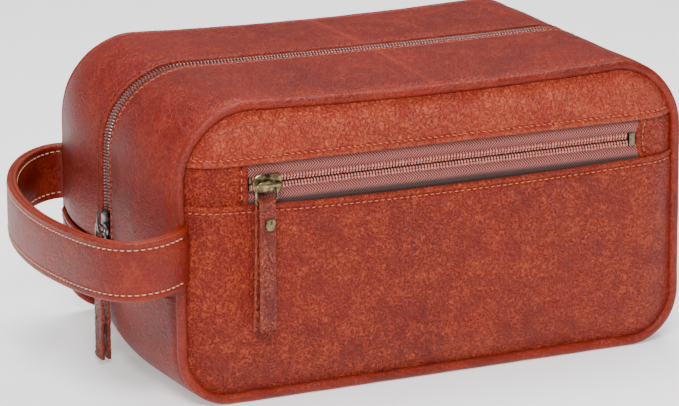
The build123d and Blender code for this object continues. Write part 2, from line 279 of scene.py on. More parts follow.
def sheet_object(name, grid, thickness, material, outward):
    points, faces = shell(grid, thickness, outward)
    return new_object(name, points, faces, material)


def tube(centres, sections, closed=False):
    """Points and faces of a tube: sections holds a ring of points for each centre."""
    rings = centres[:, None, :] + sections
    rows, columns = rings.shape[:2]
    faces = quads(rows, columns, wrap_rows=closed, wrap_columns=True)
    if not closed:
        faces += [list(range(columns))[::-1], [(rows - 1) * columns + j for j in range(columns)]]
    return rings.reshape(-1, 3), faces


def round_tube(path, radius, sides=12, closed=False, up=(0.0, 0.0, 1.0)):
    """A tube of round section along a path. radius is one number or one for each point."""
    path = np.asarray(path, float)
    if closed:
        tangent = np.roll(path, -1, axis=0) - np.roll(path, 1, axis=0)
    else:
        tangent = np.gradient(path, axis=0)
    tangent /= np.linalg.norm(tangent, axis=1, keepdims=True)
    side = np.cross(tangent, np.asarray(up, float))
    side /= np.maximum(np.linalg.norm(side, axis=1, keepdims=True), 1e-9)
    other = np.cross(side, tangent)
    angle = np.linspace(0.0, 2 * math.pi, sides, endpoint=False)
    size = np.broadcast_to(np.asarray(radius, float), (len(path),))[:, None, None]
    cosine, sine = np.cos(angle)[None, :, None], np.sin(angle)[None, :, None]
    ring = side[:, None, :] * cosine + other[:, None, :] * sine
    return tube(path, ring * size, closed)


def joined(parts):
    """Several (points, faces) as one."""
    points, faces, base = [], [], 0
    for some_points, some_faces in parts:
        points.append(np.asarray(some_points, float))
        faces += [[base + v for v in f] for f in some_faces]
        base += len(some_points)
    return np.concatenate(points), faces


def copies(template, places):
    """A template repeated: places are (origin, 3x3 axes as rows x, y, z of the template)."""
    points, faces = template
    origins = np.array([p[0] for p in places], float)
    axes = np.array([p[1] for p in places], float)
    moved = np.einsum("pk,nkj->npj", points, axes) + origins[:, None, :]
    count = len(points)
    all_faces = []
    for n in range(len(places)):
        all_faces += [[n * count + v for v in f] for f in faces]
    return moved.reshape(-1, 3), all_faces


def frame_axes(along, outward):
    """Axes with x along a seam, z outwards and y across."""
    along = np.asarray(along, float)
    along = along / np.linalg.norm(along)
    outward = np.asarray(outward, float)
    outward = outward - along * np.dot(outward, along)
    outward = outward / np.linalg.norm(outward)
    return np.array([along, np.cross(outward, along), outward])


# ---------------------------------------------------------------- stitches

def stitch_shape(length=2.1, width=0.68, height=0.36, sink=0.5):
    """One stitch: a thread that rises out of its hole, lies on the leather and goes back in."""
    t = np.linspace(-1.0, 1.0, 7)
    rise = height * (1 - np.abs(t) ** 2.5) - sink * np.abs(t) ** 4
    path = np.stack([t * length / 2, 0 * t, rise], axis=1)
    size = 0.5 * width * (0.72 + 0.28 * np.cos(t * math.pi / 2))
    points, faces = round_tube(path, size, sides=6, up=(0, 1, 0))
    points[:, 2] = path[:, 2].repeat(6) + (points[:, 2] - path[:, 2].repeat(6)) * 0.75
    return points, faces


STITCH = stitch_shape()


def stitch_line(points, outward, slant=0.0, pitch=STITCH_PITCH):
    """Places for stitches along a line of points with the outward directions there."""
    points, outward = np.asarray(points, float), np.asarray(outward, float)
    far = np.concatenate([[0.0], np.cumsum(np.linalg.norm(np.diff(points, axis=0), axis=1))])
    count = max(1, int(far[-1] / pitch))
    places = []
    for k in range(count):
        s = (k + 0.5) * far[-1] / count
        at = np.array([np.interp(s, far, points[:, i]) for i in range(3)])
        ahead = np.array([np.interp(s + 0.8, far, points[:, i]) for i in range(3)])
        behind = np.array([np.interp(s - 0.8, far, points[:, i]) for i in range(3)])
        out = np.array([np.interp(s, far, outward[:, i]) for i in range(3)])
        axes = frame_axes(ahead - behind, out)
        turned = axes[0] * math.cos(slant) + axes[1] * math.sin(slant)
        places.append((at, frame_axes(turned, axes[2])))
    return places


# ---------------------------------------------------------------- materials

class Shade:
    """A material being made. A step's result is a (node, output) pair, which later steps take."""

    def __init__(self, name):
        self.made = bpy.data.materials.new(name)
        self.made.use_nodes = True
        self.tree = self.made.node_tree
        self.shader = self.tree.nodes["Principled BSDF"]
        self.at = self.node("TexCoord"), "Object"

    def feed(self, source, socket):
        self.tree.links.new(source[0].outputs[source[1]], socket)

    def put(self, value, socket):
        """A step's result, a colour or a number goes into a socket."""
        if isinstance(value, tuple) and isinstance(value[0], bpy.types.Node):
            self.feed(value, socket)
        else:
            socket.default_value = (*value, 1.0) if isinstance(value, tuple) else value

    def node(self, kind, **values):
        made = self.tree.nodes.new("ShaderNode" + kind)
        for key, value in values.items():
            if key in made.inputs:
                made.inputs[key].default_value = value
            else:
                setattr(made, key, value)
        return made

    def noise(self, **values):
        made = self.node("TexNoise", **values)
        self.feed(self.at, made.inputs["Vector"])
        return made, "Fac"

    def cells(self, bend, amount, scale):
        """The distance to the edges of cells that are bent by a noise's colour."""
        bent = self.node("Mix", data_type="VECTOR", Factor=amount)
        self.feed(self.at, bent.inputs[4])
        self.feed((bend[0], "Color"), bent.inputs[5])
        made = self.node("TexVoronoi", feature="DISTANCE_TO_EDGE", Scale=scale)
        self.feed((bent, 1), made.inputs["Vector"])
        return made, "Distance"

    def math(self, operation, a, b=0.0):
        made = self.node("Math", operation=operation)
        self.put(a, made.inputs[0])
        self.put(b, made.inputs[1])
        return made, 0

    def times(self, a, b):
        return self.math("MULTIPLY", a, b)

    def plus(self, a, b):
        return self.math("ADD", a, b)

    def minus(self, a, b):
        return self.math("SUBTRACT", a, b)

    def ramp(self, source, low, high):
        """A number from 0 at low to 1 at high."""
        made = self.node("MapRange", **{"From Min": low, "From Max": high})
        self.feed(source, made.inputs["Value"])
        return made, "Result"

    def mix(self, factor, a, b, blend="MIX"):
        made = self.node("Mix", data_type="RGBA", blend_type=blend)
        for value, index in ((factor, 0), (a, 6), (b, 7)):
            self.put(value, made.inputs[index])
        return made, 2

    def surface(self, colour, rough, height, strength, distance):
        """Joins the colour, the roughness and the bump to the shader."""
        bump = self.node("Bump", Strength=strength, Distance=distance)
        self.feed(height, bump.inputs["Height"])
        for source, name in ((colour, "Base Color"), (rough, "Roughness"), ((bump, "Normal"), "Normal")):
            self.feed(source, self.shader.inputs[name])


def leather(name, dark, middle, light, grain=1.0, crinkle=1.0, rough=0.42, coat=0.03, fine=1.0,
            specular=0.28, seed=0.0):
    """Pull-up leather: uneven dye, paler crinkle lines, a pebbled grain, paler worn folds that also serve
    as a painted highlight, and painted shade in hollows.
    """
    m = Shade(name)
    shift = m.node("VectorMath", operation="ADD")
    shift.inputs[1].default_value = (seed, seed * 0.7, seed * 1.9)
    m.feed(m.at, shift.inputs[0])
    m.at = shift, 0
    clouds = m.noise(Scale=16.0, Detail=4.0, Roughness=0.55)
    patches = m.noise(Scale=70.0, Detail=5.0, Roughness=0.6)
    bend = m.noise(Scale=210.0, Detail=2.0)
    lines = m.noise(Scale=260.0 * fine, Detail=3.0, Roughness=0.62, Distortion=0.6)
    creases = m.ramp(m.cells(bend, 0.004, 430.0 * fine), 0.0, 0.16)
    small = m.ramp(m.cells(bend, 0.004, 1150.0 * fine), 0.0, 0.25)
    net = m.ramp(m.cells(bend, 0.011, 330.0 * fine), 0.02, 0.15)
    crinkles = m.times(m.minus(1.0, net), m.ramp(patches, 0.33, 0.55))
    colour = m.mix(m.ramp(clouds, 0.35, 0.66), dark, middle)
    colour = m.mix(m.times(m.ramp(patches, 0.5, 0.78), 0.22), colour, light)
    colour = m.mix(m.times(crinkles, 0.75 * crinkle), colour, light)
    pits = m.times(m.minus(1.0, creases), 0.22 * grain)
    colour = m.mix(pits, colour, (0.35, 0.22, 0.2), "MULTIPLY")
    bends = m.node("NewGeometry"), "Pointiness"
    # Convex bends are paler: partly wear on the folds, partly a painted highlight on rolled edges and
    # welts.
    colour = m.mix(m.times(m.ramp(bends, 0.51, 0.58), 0.35), colour, light)
    # Hollows are darkened: painted shade in grooves and creases.
    colour = m.mix(m.times(m.ramp(bends, 0.49, 0.44), 0.8), colour, (0.16, 0.10, 0.10), "MULTIPLY")
    gloss = m.plus(m.plus(m.times(patches, 0.22), rough - 0.11), m.times(clouds, 0.08))
    height = m.plus(m.times(creases, 0.5 * grain), m.times(small, 0.2 * grain))
    height = m.plus(m.plus(height, m.times(lines, 1.1 * crinkle)), m.times(crinkles, 0.4 * crinkle))
    m.surface(colour, gloss, height, 1.0, 0.0008)
    m.shader.inputs["Coat Weight"].default_value = coat
    m.shader.inputs["Coat Roughness"].default_value = 0.32
    m.shader.inputs["Specular IOR Level"].default_value = specular
    return m.made


def metal(name, dark, bright, rough=0.34):
    """Plated metal with a tarnished, mottled surface and brighter worn places."""
    m = Shade(name)
    tarnish = m.noise(Scale=420.0, Detail=5.0, Roughness=0.65)
    scratches = m.noise(Scale=1900.0, Detail=2.0)
    edges = m.ramp((m.node("NewGeometry"), "Pointiness"), 0.5, 0.62)
    amount = m.math("MINIMUM", m.plus(m.ramp(tarnish, 0.38, 0.68), m.times(edges, 0.5)), 1.0)
    gloss = m.plus(m.times(scratches, 0.25), rough - 0.12)
    m.surface(m.mix(amount, dark, bright), gloss, tarnish, 0.25, 0.00008)
    m.shader.inputs["Metallic"].default_value = 1.0
    return m.made


def woven(name, dark, light, across, rib, middle=None, window=0.0, sheen=0.25):
    """Woven cloth. With middle, the ribs form a herringbone on both sides of it, and painted shade darkens
    the cloth under the chain and under the leather's edges, which stand at the distance window."""
    m = Shade(name)
    split = m.node("SeparateXYZ")
    m.feed(m.at, split.inputs[0])
    along, side = (split, "X"), (split, across)
    if middle is not None:
        off = m.math("ABSOLUTE", m.minus(side, middle))
        side = m.math("PINGPONG", m.minus(off, 0.0062), 0.0045)
    phase = m.times(m.plus(along, side), 2 * math.pi / rib)
    wave = m.plus(m.times(m.math("SINE", phase), 0.5), 0.5)
    cross = m.noise(Scale=2600.0, Detail=1.0)
    wave = m.plus(m.times(wave, 0.8), m.times(cross, 0.3))
    colour = m.mix(m.ramp(wave, 0.3, 0.85), dark, light)
    if middle is not None:
        # Painted shade: a darker copy of the cloth's colour under the chain and along the leather's edges.
        painted_shade = tuple(0.25 * c for c in dark)
        colour = m.mix(m.ramp(off, 0.0034, 0.0024), colour, painted_shade)
        colour = m.mix(m.times(m.ramp(off, window - 0.0017, window - 0.0002), 0.85), colour, painted_shade)
    m.surface(colour, m.plus(m.times(cross, 0.2), 0.6), wave, 0.9, 0.0003)
    m.shader.inputs["Sheen Weight"].default_value = sheen
    m.shader.inputs["Sheen Roughness"].default_value = 0.5
    return m.made


def speckled(name, dark, light, rough, scale=900.0, strength=0.2, coat=0.0):
    """A plain material with a slight unevenness: nylon, thread, board or floor."""
    m = Shade(name)
    spots = m.noise(Scale=scale, Detail=3.0)
    gloss = m.plus(m.times(spots, 0.15), rough - 0.07)
    m.surface(m.mix(m.ramp(spots, 0.35, 0.65), dark, light), gloss, spots, strength, 0.0001)
    m.shader.inputs["Coat Weight"].default_value = coat
    return m.made


RIB = 0.0014
LEATHER = leather("leather_body", (0.145, 0.0045, 0.0006), (0.195, 0.007, 0.001), (0.46, 0.06, 0.012),
                  fine=1.2)
YOKE = leather("leather_yoke", (0.26, 0.016, 0.005), (0.32, 0.026, 0.009), (0.52, 0.10, 0.036),
               grain=1.2, crinkle=0.9, seed=3.0)
GUSSET = leather("leather_gusset", (0.11, 0.0028, 0.0004), (0.165, 0.005, 0.0008), (0.36, 0.035, 0.009),
                 grain=0.5, crinkle=0.6, rough=0.40, specular=0.24, seed=5.0)
WELT = leather("leather_welt", (0.10, 0.003, 0.0005), (0.17, 0.006, 0.001), (0.40, 0.045, 0.012),
               grain=0.3, crinkle=0.4, rough=0.40, seed=7.0)
STRAP = leather("leather_strap", (0.085, 0.0022, 0.0003), (0.15, 0.005, 0.0006), (0.38, 0.045, 0.008),
                grain=0.2, crinkle=0.35, rough=0.38, seed=9.0)
PULL = leather("leather_pull", (0.11, 0.004, 0.0018), (0.21, 0.010, 0.004), (0.56, 0.11, 0.045),
               grain=1.6, crinkle=1.1, rough=0.30, coat=0.15, fine=1.2, seed=11.0)
CORE = speckled("strap_edge", (0.06, 0.006, 0.003), (0.10, 0.012, 0.005), 0.5)
# Both zip tapes carry painted shade under their chains and along the leather's edges.
TAPE_FLAT = woven("zip_tape_pocket", (0.02, 0.003, 0.002), (0.46, 0.11, 0.085), "Z", RIB, POCKET_Z * MM,
                  (WINDOW_HIGH - WINDOW_LOW) / 2 * MM)
TAPE_ROUND = woven("zip_tape_mouth", (0.04, 0.006, 0.005), (0.16, 0.03, 0.02), "Y", RIB, 0.0, ZIP_EDGE * MM)
COIL = speckled("coil_nylon", (0.34, 0.075, 0.05), (0.58, 0.19, 0.14), 0.26, coat=0.5)
COIL_DARK = speckled("coil_nylon_mouth", (0.09, 0.02, 0.014), (0.23, 0.062, 0.046), 0.30, coat=0.3)
THREAD = speckled("thread_orange", (0.34, 0.05, 0.018), (0.52, 0.11, 0.045), 0.55, 1500.0)
THREAD_DARK = speckled("thread_dark", (0.10, 0.012, 0.006), (0.19, 0.03, 0.012), 0.55, 1500.0)
THREAD_PALE = speckled("thread_pale", (0.42, 0.17, 0.09), (0.62, 0.32, 0.20), 0.55, 1500.0)
BRASS = metal("antique_brass", (0.055, 0.04, 0.018), (0.38, 0.29, 0.15))
GUNMETAL = metal("gunmetal", (0.045, 0.038, 0.032), (0.30, 0.27, 0.24), rough=0.32)
CLIP = metal("clip_metal", (0.05, 0.035, 0.022), (0.20, 0.15, 0.10))
LINING = woven("lining_cloth", (0.030, 0.018, 0.014), (0.075, 0.048, 0.038), "Y", 0.0008, sheen=0.3)
CORD = speckled("welt_cord", (0.45, 0.40, 0.32), (0.65, 0.60, 0.50), 0.8, 700.0, 0.6)
BOARD = speckled("base_board", (0.30, 0.23, 0.15), (0.42, 0.33, 0.22), 0.85, 300.0)


# ---------------------------------------------------------------- leather panels

def folded_edge():
    """A turned edge seen end-on: distance in from the fold, and height above the leather's face."""
    face = [(9.0, 0.0), (7.0, 0.0), (5.6, 0.02), (4.7, 0.02), (4.2, -0.12), (3.75, -0.36),
            (3.3, -0.5), (2.85, -0.36), (2.4, 0.02), (1.9, 0.26), (1.4, 0.3)]
    turn = np.linspace(0.0, math.pi, 8)
    roll = [(1.1 - 1.1 * math.sin(t), -0.9 + 1.2 * math.cos(t)) for t in turn]
    back = [(3.0, -2.1), (6.0, -2.1), (9.5, -2.1)]
    return np.array(face + roll + back)


FOLD = folded_edge()


def row_positions(low_x, high_x, count):
    """x across a row, closer together towards both ends."""
    u = np.linspace(0.0, 1.0, count)
    spread = 0.45 * u + 0.55 * (0.5 - 0.5 * np.cos(math.pi * u))
    return low_x + (high_x - low_x) * spread


def lower_edge_dip(x):
    """The folded top edge of the lower panel sinks a little between its two ends."""
    return -1.9 * np.sin(math.pi * np.clip((x + 122.0) / 244.0, 0.0, 1.0)) + 0.9 * smooth(-x, 60.0, 125.0)


def front_lower_panel():
    inset = PANEL_INSET
    curve = CORNER_BASE - (CORNER_BASE - inset) * np.cos(np.linspace(0.0, math.pi / 2, 15))
    flat = np.arange(CORNER_BASE + 2.5, WINDOW_LOW - FOLD[0, 0] - 1.0, 2.5)
    rows = [(z, 0.0, None) for z in [*curve, *flat]] + [(0.0, b, a) for a, b in FOLD]
    grid = []
    for z, out, from_fold in rows:
        level = z if from_fold is None else WINDOW_LOW - from_fold
        left, right = side_limits(np.array([level]), inset)
        x = row_positions(left[0], right[0], 121)
        dip = lower_edge_dip(x) * smooth(level, 45.0, WINDOW_LOW)
        heights = level + dip
        grid.append(np.stack([x, front_face(x, heights) - out, heights], axis=1))
    return sheet_object("front_lower_leather", np.array(grid), SHEET, LEATHER, (0, -1, 0))


def front_yoke():
    inset = PANEL_INSET
    top = HEIGHT - inset
    above_fold = WINDOW_HIGH + FOLD[0, 0] + 1.2 - (HEIGHT - CORNER_RIGHT)
    angle = np.linspace(math.pi / 2, math.asin(above_fold / (CORNER_RIGHT - inset)), 16)
    curve = HEIGHT - CORNER_RIGHT + (CORNER_RIGHT - inset) * np.sin(angle)
    rows = [(z, 0.0, None) for z in curve] + [(0.0, b, a) for a, b in FOLD]
    grid = []
    for z, out, from_fold in rows:
        level = z if from_fold is None else WINDOW_HIGH + from_fold
        left, right = side_limits(np.array([min(level, top)]), inset)
        x = row_positions(left[0], right[0], 121)
        heights = level - TOP_SAG * top_span(x) * smooth(level, HEIGHT - 22.0, HEIGHT - 4.0)
        grid.append(np.stack([x, front_face(x, np.full_like(x, level)) - out, heights], axis=1))
    return sheet_object("front_yoke_leather", np.array(grid), SHEET, YOKE, (0, -1, 0))


def front_tab(name, edge, side):
    """A tab beside the pocket's window, behind the yoke and the lower panel. side is -1 at the left."""
    behind = 1.45
    grid = []
    for z in np.linspace(WINDOW_LOW - 6.0, WINDOW_HIGH + 4.0, 13):
        left, right = side_limits(np.array([z]), PANEL_INSET)
        outer = left[0] if side < 0 else right[0]
        bend = 0.0 if side < 0 else 1.9 * ((z - POCKET_Z) / 9.0) ** 2 - 1.2
        start = edge + bend
        xs = [start + side * a for a, _ in FOLD[::-1]]
        heights = [b for _, b in FOLD[::-1]]
        more = np.linspace(xs[-1], outer, 12)[1:]
        x = np.array([*xs, *more])
        lift = np.array([*heights, *np.zeros(len(more))])
        level = np.full_like(x, z)
        grid.append(np.stack([x, front_face(x, level) + behind - lift, level], axis=1))
    return sheet_object(name, np.array(grid), SHEET, LEATHER, (0, -1, 0))


def rear_panel():
    inset = PANEL_INSET
    low = CORNER_BASE - (CORNER_BASE - inset) * np.cos(np.linspace(0.0, math.pi / 2, 15))
    angle = np.linspace(math.pi / 2, 0.0, 18)
    high = (HEIGHT - CORNER_RIGHT + (CORNER_RIGHT - inset) * np.sin(angle))[::-1]
    rows = [*low, *np.arange(CORNER_BASE + 2.8, high[0] - 1.0, 2.8), *high]
    grid = []
    for z in rows:
        left, right = side_limits(np.array([z]), inset)
        x = row_positions(left[0], right[0], 111)
        level = np.full_like(x, z)
        heights = level - TOP_SAG * top_span(x) * smooth(level, HEIGHT - 22.0, HEIGHT - 4.0)
        grid.append(np.stack([x, rear_face(x, level), heights], axis=1))
    return sheet_object("rear_leather", np.array(grid), SHEET, LEATHER, (0, 1, 0))


# ---------------------------------------------------------------- gusset leather

def strip_s(left):
    """Distances along the outline for a quarter of the mouth, from the end seam to the top's middle."""
    if left:
        return np.concatenate([np.linspace(S_LEFT_SEAM - 7.0, S_LEFT_SEAM + 5.0, 9),
                               np.arange(S_LEFT_SEAM + 7.5, S_TOP - 0.5, 2.5), [S_TOP]])
    return np.concatenate([[S_TOP], np.arange(S_TOP + 2.5, S_RIGHT_SEAM - 6.5, 2.5),
                           np.linspace(S_RIGHT_SEAM - 5.0, S_RIGHT_SEAM + 7.0, 9)])


def tuck(s):
    """The strips and the zip go in under the base gusset's folded edge."""
    return -2.3 * (1.0 - smooth(np.minimum(s - S_LEFT_SEAM, S_RIGHT_SEAM - s), -2.5, 3.0))


def leather_strip(name, front, left):
    s = strip_s(left)[:, None]
    side = -1.0 if front else 1.0
    _, z, _, _ = on_line(s)
    half = half_depth(z) - 0.6
    start = ZIP_EDGE + FOLD[0, 0]
    share = np.linspace(0.0, 1.0, 22)[None, 1:]
    wide = start + (half - start) * share
    y_fold = np.broadcast_to(ZIP_EDGE + FOLD[::-1, 0][None, :], (len(s), len(FOLD)))
    lift = np.concatenate([np.broadcast_to(FOLD[::-1, 1][None, :], y_fold.shape), 0.0 * wide], axis=1)
    y = side * np.concatenate([y_fold, wide], axis=1)
    grid = gusset(s, y, lift + tuck(s))
    grid[:, len(FOLD):, 1] = y[:, len(FOLD):]
    outward = np.array([-0.4 if left else 0.4, 0.0, 1.0])
    return sheet_object(name, grid, SHEET, GUSSET, outward)


def below_base(z):
    """Downwards on the base, for the outer side of a sheet that turns up both ends."""
    return np.where(z[..., None] < 1.0, -1.0, 0.0) * np.array([0.0, 0.0, 1.0])


def base_gusset():
    """The base and the lower part of both ends, with a folded edge over the strips at each end."""
    low = -(AROUND - S_RIGHT_SEAM)
    fold = FOLD
    middle = np.linspace(low + fold[0, 0] + 2.0, S_LEFT_SEAM - fold[0, 0] - 2.0, 190)
    s = np.concatenate([low + fold[::-1, 0], middle, S_LEFT_SEAM - fold[:, 0]])
    lift = np.concatenate([fold[::-1, 1], 0.0 * middle, fold[:, 1]])[:, None]
    _, z, _, _ = on_line(s[:, None])
    half = half_depth(z) - 0.6
    share = np.sin(np.linspace(-1.0, 1.0, 41) * math.pi / 2)[None, :]
    y = half * share
    under_pull = 1.9 * np.exp(-(y / 9.0) ** 4) * smooth(s[:, None], 0.0, 60.0)
    raised = (1.0 - under_pull) * smooth(z, 34.0, 52.0) - 0.25 * (1.0 - smooth(z, 0.0, 6.0))
    grid = gusset(s[:, None], y, lift + raised)
    return sheet_object("base_gusset_leather", grid, SHEET, GUSSET, below_base(z))


def seam_path(front, count=420):
    """The middle line of the welt."""
    s = np.linspace(0.0, AROUND, count, endpoint=False)
    x, z, nx, nz = on_line(s)
    side = -1.0 if front else 1.0
    return np.stack([x - nx * WELT_INSET, side * half_depth(z), z - nz * WELT_INSET], axis=1), s


def welt(name, front):
    path, s = seam_path(front)
    path[:, 2] -= TOP_SAG * top_span(path[:, 0]) * smooth(path[:, 2], HEIGHT - 14.0, HEIGHT - 5.0)
    lumps = 0.05 * np.sin(s / 6.3) + 0.04 * np.sin(s / 2.9 + 1.0)
    points, faces = round_tube(path, WELT_RADIUS + lumps, sides=18, closed=True, up=(0, 1, 0))
    made = new_object(name, points, faces, WELT)
    points, faces = round_tube(path, 1.35, sides=10, closed=True, up=(0, 1, 0))
    core = new_object(name + "_cord", points, faces, CORD)
    return made, core


# ---------------------------------------------------------------- linings


def cloth(name, grid, thickness, mat, outward):
    """A sheet of cloth."""
    made = sheet_object(name, grid, thickness, mat, outward)
    return made


def lining_panel(node_name, seed):
    """The loose lining of a flat panel: it ripples, and draws out towards the seam at its rim."""
    low, high = cad(node_name)
    front = low[1] < 0
    inset = WALL + low[0]
    rows = [*(low[2] + (CORNER_BASE - low[2]) * (1.0 - np.cos(np.linspace(0.0, math.pi / 2, 12)))),
            *np.arange(CORNER_BASE + 3.0, high[2] - 0.5, 3.0), high[2]]
    grid = []
    for z in rows:
        left, right = side_limits(np.array([z]), inset)
        x = row_positions(left[0], right[0], 91)
        level = np.full_like(x, z)
        rim = 1.0 - smooth(inside(x, level), inset, inset + 9.0)
        reach = (-low[1] if front else high[1]) + 0.35 * ripple(x, level, seed) * (1.0 - rim) - 0.3
        grid.append(np.stack([x, (-reach if front else reach), level], axis=1))
    return cloth(node_name + "_cloth", np.array(grid), LINING_SHEET, LINING, (0, -1 if front else 1, 0))


LINING_DEEP = -3.9
LINING_FROM_ZIP = cad("rear_mouth_lining")[0][1]


def mouth_lining(name, front, left):
    """The lining under a quarter of the mouth."""
    s = strip_s(left)[:, None]
    side = -1.0 if front else 1.0
    _, z, _, _ = on_line(s)
    half = half_depth(z) - 4.0
    y = side * (LINING_FROM_ZIP + (half - LINING_FROM_ZIP) * np.linspace(0.0, 1.0, 18)[None, :])
    waves = 0.2 * np.sin(s / 5.3 + y / 9.0) * np.sin(y / 7.0)
    grid = gusset(s, y, LINING_DEEP + waves)
    return cloth(name, grid, LINING_SHEET, LINING, (-0.4 if left else 0.4, 0.0, 1.0))


def gusset_lining():
    """The lining of the base and of both ends, up to the cross seams."""
    low = -(AROUND - S_RIGHT_SEAM)
    s = np.linspace(low + 1.0, S_LEFT_SEAM - 1.0, 170)[:, None]
    _, z, _, _ = on_line(s)
    half = half_depth(z) - 5.5
    y = half * np.sin(np.linspace(-1.0, 1.0, 37) * math.pi / 2)[None, :]
    waves = 0.3 * np.sin(s / 8.0 + y / 11.0) * np.sin(y / 13.0 + 0.5) * smooth(z, 8.0, 30.0)
    grid = gusset(s, y, LINING_DEEP - 0.9 * smooth(z, 8.0, 30.0) + waves)
    return cloth("gusset_lining_cloth", grid, LINING_SHEET, LINING, below_base(z))


# ---------------------------------------------------------------- mouth zip

def tape_strip(name, front, left):
    s = strip_s(left)[:, None]
    side = -1.0 if front else 1.0
    y = side * np.array([0.45, 1.2, 2.2, 3.2, 4.2, 5.4, 7.0, 10.0, 13.0, 15.3])[None, :]
    lift = -2.35 + 0.25 * np.exp(-((np.abs(y) - 0.9) / 0.9) ** 2)
    grid = gusset(s, y, lift + tuck(s))
    return cloth(name, grid, TAPE_SHEET, TAPE_ROUND, (-0.4 if left else 0.4, 0.0, 1.0))


def tooth_shape(half=CHAIN_HALF):
    """One turn of a coil from the tape's edge to its head at the chain's middle. y is across."""
    path = np.array([[-0.10, half - 0.10, -0.45], [-0.06, half - 0.20, 0.15], [0.02, half - 0.65, 0.58],
                     [0.10, half - 1.12, 0.56], [0.14, half - 1.45, 0.24], [0.18, half - 1.78, 0.46],
                     [0.22, half - 2.14, 0.52], [0.24, half - 2.40, 0.24], [0.24, half - 2.46, -0.25]])
    size = np.array([0.42, 0.52, 0.58, 0.54, 0.32, 0.50, 0.54, 0.46, 0.30])
    return round_tube(path, size, sides=7, up=(1, 0, 0))


TOOTH = tooth_shape()


def teeth(low, high, first_side):
    """Distances of the teeth of one side of a zip from its middle, between two ends."""
    offset = 0.25 if first_side else 0.75
    ids = np.arange(math.ceil(low / TOOTH_PITCH - offset), math.ceil(high / TOOTH_PITCH - offset))
    return (ids + offset) * TOOTH_PITCH


def coil_places(s_values, side):
    """Where the mouth zip's teeth stand, on one side of the zip."""
    places = []
    for s in s_values:
        _, _, nx, nz = on_line(s)
        at = gusset(s, 0.0, -1.15)
        along = gusset(s + 0.5, 0.0) - gusset(s - 0.5, 0.0)
        along = along / np.linalg.norm(along)
        out = np.array([float(nx), 0.0, float(nz)])
        out = out - along * np.dot(out, along)
        out = out / np.linalg.norm(out)
        places.append((at, np.array([along, np.array([0.0, side, 0.0]), out])))
    return places


def coil(name, front, left):
    side = -1.0 if front else 1.0
    low, high = (S_LEFT_SEAM + 6.0, S_TOP) if left else (S_TOP, S_RIGHT_SEAM - 6.0)
    s_values = S_TOP + teeth(low - S_TOP, high - S_TOP, front)
    points, faces = copies(TOOTH, coil_places(s_values, side))
    return new_object(name, points, faces, COIL_DARK)


def strip_stitches(name, front, left):
    """The line of stitches beside the zip's folded edge."""
    side = -1.0 if front else 1.0
    low, high = (S_LEFT_SEAM + 3.0, S_TOP) if left else (S_TOP, S_RIGHT_SEAM - 3.0)
    s = np.arange(low, high, 1.5)
    y = side * (ZIP_EDGE + STITCH_FROM_EDGE)
    line = gusset(s, y, -0.2)
    _, _, nx, nz = on_line(s)
    outward = np.stack([nx, 0.0 * nx, nz], axis=1)
    points, faces = copies(STITCH, stitch_line(line, outward, slant=side * 0.28))
    return new_object(name, points, faces, THREAD if front else THREAD_DARK)


# ---------------------------------------------------------------- pocket zip

def flat_tape_grid(x_range, z_values):
    x = np.arange(x_range[0], x_range[1] + 1.9, 2.0)
    x = np.linspace(x_range[0], x_range[1], len(x))
    z = np.asarray(z_values, float)
    grid = np.stack(np.meshgrid(x, z, indexing="ij"), axis=-1)
    near = np.exp(-((np.abs(grid[..., 1] - POCKET_Z) - 1.0) / 1.0) ** 2)
    wave = 0.12 * np.sin(grid[..., 0] / 11.0) * smooth(np.abs(grid[..., 1] - POCKET_Z), 3.0, 6.0)
    return np.stack([grid[..., 0], TAPE_FRONT - 0.15 * near + wave, grid[..., 1]], axis=-1)


def flat_tape(name, x_range, z_values):
    return cloth(name, flat_tape_grid(x_range, z_values), TAPE_SHEET, TAPE_FLAT, (0, -1, 0))


def pocket_coil(name, x_range, side):
    y = (cad("pocket_chain_upper")[0][1] + cad("pocket_chain_upper")[1][1]) / 2
    axes = np.array([[-1.0, 0.0, 0.0], [0.0, 0.0, side], [0.0, -1.0, 0.0]])
    places = [(np.array([x, y, POCKET_Z]), axes) for x in teeth(*x_range, side > 0)]
    points, faces = copies(TOOTH, places)
    return new_object(name, points, faces, COIL)


# ---------------------------------------------------------------- front stitches

def front_line_stitches():
    """Stitches beside the yoke's edge, the lower panel's edge and the two tabs' edges."""
    places = []
    for z, dips, slant in ((WINDOW_HIGH + STITCH_FROM_EDGE, False, -0.2),
                           (WINDOW_LOW - STITCH_FROM_EDGE, True, 0.12)):
        left, right = side_limits(np.array([z]), 5.6)
        x = np.arange(left[0], right[0], 1.5)
        level = np.full_like(x, z) + (lower_edge_dip(x) if dips else 0.0)
        line = np.stack([x, front_face(x, level) + 0.32, level], axis=1)
        places += stitch_line(line, np.tile([0.0, -1.0, 0.0], (len(x), 1)), slant=slant)
    z = np.linspace(WINDOW_LOW + 1.5, WINDOW_HIGH - 1.5, 8)
    bend = 1.9 * ((z - POCKET_Z) / 9.0) ** 2 - 1.2
    for x in (POCKET_LEFT - STITCH_FROM_EDGE + 0.0 * z, POCKET_RIGHT + bend + STITCH_FROM_EDGE):
        line = np.stack([x, front_face(x, z) + 1.62, z], axis=1)
        places += stitch_line(line, np.tile([0.0, -1.0, 0.0], (len(z), 1)))
    points, faces = copies(STITCH, places)
    return new_object("front_stitches", points, faces, THREAD)


def end_seam_stitches():
    """The line that holds the base gusset's folded edge at both ends."""
    places = []
    for s, sign in ((S_LEFT_SEAM - STITCH_FROM_EDGE, -1.0), (S_RIGHT_SEAM + STITCH_FROM_EDGE, 1.0)):
        y = np.arange(-73.0, 73.1, 1.5)
        line = gusset(s, y, 0.8)
        places += stitch_line(line, np.tile([sign, 0.0, 0.0], (len(y), 1)))
    points, faces = copies(STITCH, places)
    return new_object("end_seam_stitches", points, faces, THREAD_DARK)


# ---------------------------------------------------------------- handle strap

